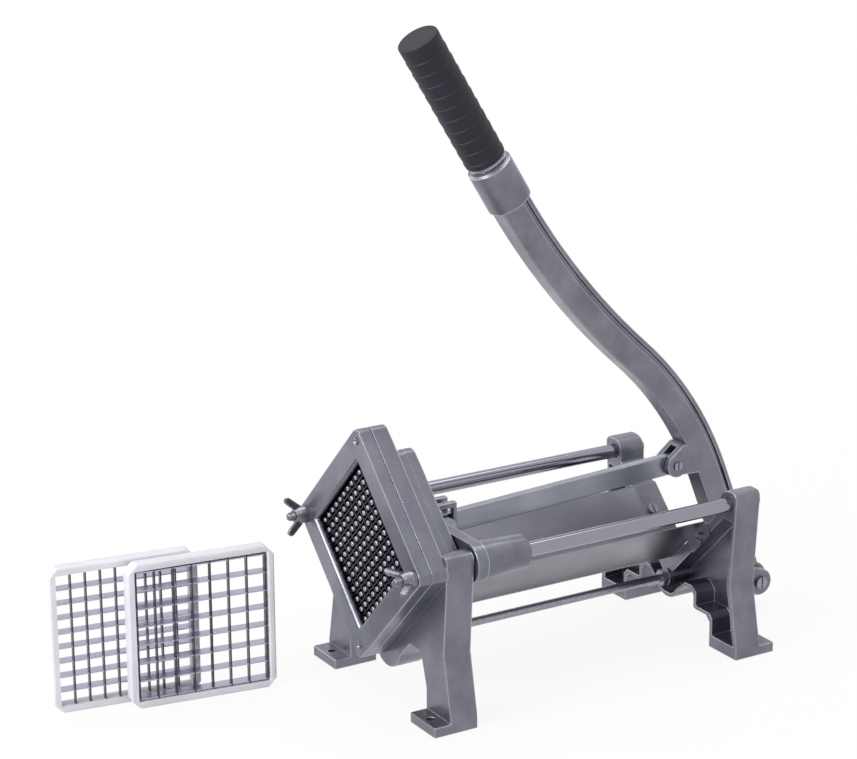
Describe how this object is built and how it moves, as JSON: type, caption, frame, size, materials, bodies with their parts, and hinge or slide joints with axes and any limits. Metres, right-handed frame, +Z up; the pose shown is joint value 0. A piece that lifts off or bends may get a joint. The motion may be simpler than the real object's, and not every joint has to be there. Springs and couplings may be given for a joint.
{
  "type": "french fry cutter",
  "caption": "Long-lever french fry cutter: two cast frames, guide rods, V trough, peg pusher, clamped blade cartridge and two spare cartridges.",
  "frame": {"origin": "centre of the four foot holes, on the table plane", "axes": "+X towards the near side, -Y where the fries leave, +Z up"},
  "size_m": [0.1726, 0.5077, 0.4374],
  "materials": {
    "cast_metal": "satin",
    "steel": "satin",
    "blade_steel": "satin",
    "bronze": "satin",
    "white_plastic": "satin",
    "grip_plastic": "gloss"
  },
  "bodies": {
    "stand": {"front_frame": "cast_metal", "rear_frame": "cast_metal", "guide_rods": "steel", "rod_screws": "steel", "tie_rod": "steel", "tie_rod_nuts": "steel", "trough": "steel", "trough_screws": "steel", "wall_screws": "steel", "clamp_studs": "steel", "locating_pins": "steel", "pivot_bolt": "steel", "pivot_nut": "steel", "pivot_washers": "bronze"},
    "slider": {"carriage": "cast_metal", "slide_bushes": "bronze", "pusher_block": "cast_metal", "pusher_screws": "steel"},
    "link": {"link_bar": "steel", "link_front_pin": "steel"},
    "lever": {"lever": "cast_metal", "lever_bush": "bronze", "link_screw": "steel", "link_nut": "steel", "handle_stub": "steel", "grip": "grip_plastic"},
    "clamp": {"clamp_plate": "cast_metal", "fine_frame": "white_plastic", "fine_blades_a": "blade_steel", "fine_blades_b": "blade_steel", "stud_washers": "steel"},
    "wing_left": {"wing_nut_left": "steel"},
    "wing_right": {"wing_nut_right": "steel"},
    "spare_medium": {"medium_frame": "white_plastic", "medium_blades_a": "blade_steel", "medium_blades_b": "blade_steel"},
    "spare_coarse": {"coarse_frame": "white_plastic", "coarse_blades_a": "blade_steel", "coarse_blades_b": "blade_steel"}
  },
  "joints": [
    {"name": "lever_pull", "type": "hinge", "parent": "stand", "child": "lever", "pos_m": [0, 0.171, 0.022], "axis": [-1, 0, 0], "range_deg": [0, 53]},
    {"name": "slider_travel", "type": "slide", "parent": "stand", "child": "slider", "axis": [0, 1, 0], "range_m": [0, 0.1041]},
    {"name": "link_turn", "type": "hinge", "parent": "lever", "child": "link", "pos_m": [0, 0.104, 0.118], "axis": [1, 0, 0], "range_deg": [0, 60.4]},
    {"name": "clamp_off", "type": "slide", "parent": "stand", "child": "clamp", "axis": [0, -1, 0], "range_m": [0, 0.03]},
    {"name": "wing_left_turn", "type": "hinge", "parent": "clamp", "child": "wing_left", "pos_m": [-0.07, -0.1436, 0.107], "axis": [0, -1, 0], "continuous": true},
    {"name": "wing_right_turn", "type": "hinge", "parent": "clamp", "child": "wing_right", "pos_m": [0.07, -0.1436, 0.107], "axis": [0, -1, 0], "continuous": true},
    {"name": "medium_lift", "type": "slide", "parent": "stand", "child": "spare_medium", "axis": [0, 0, 1], "range_m": [0, 0.12]},
    {"name": "coarse_lift", "type": "slide", "parent": "stand", "child": "spare_coarse", "axis": [0, 0, 1], "range_m": [0, 0.12]}
  ],
  "couplings": [
    {"joint": "slider_travel", "follows": "lever_pull", "m_per_rad": 0.11248},
    {"joint": "link_turn", "follows": "lever_pull", "ratio": 1.1375}
  ]
}
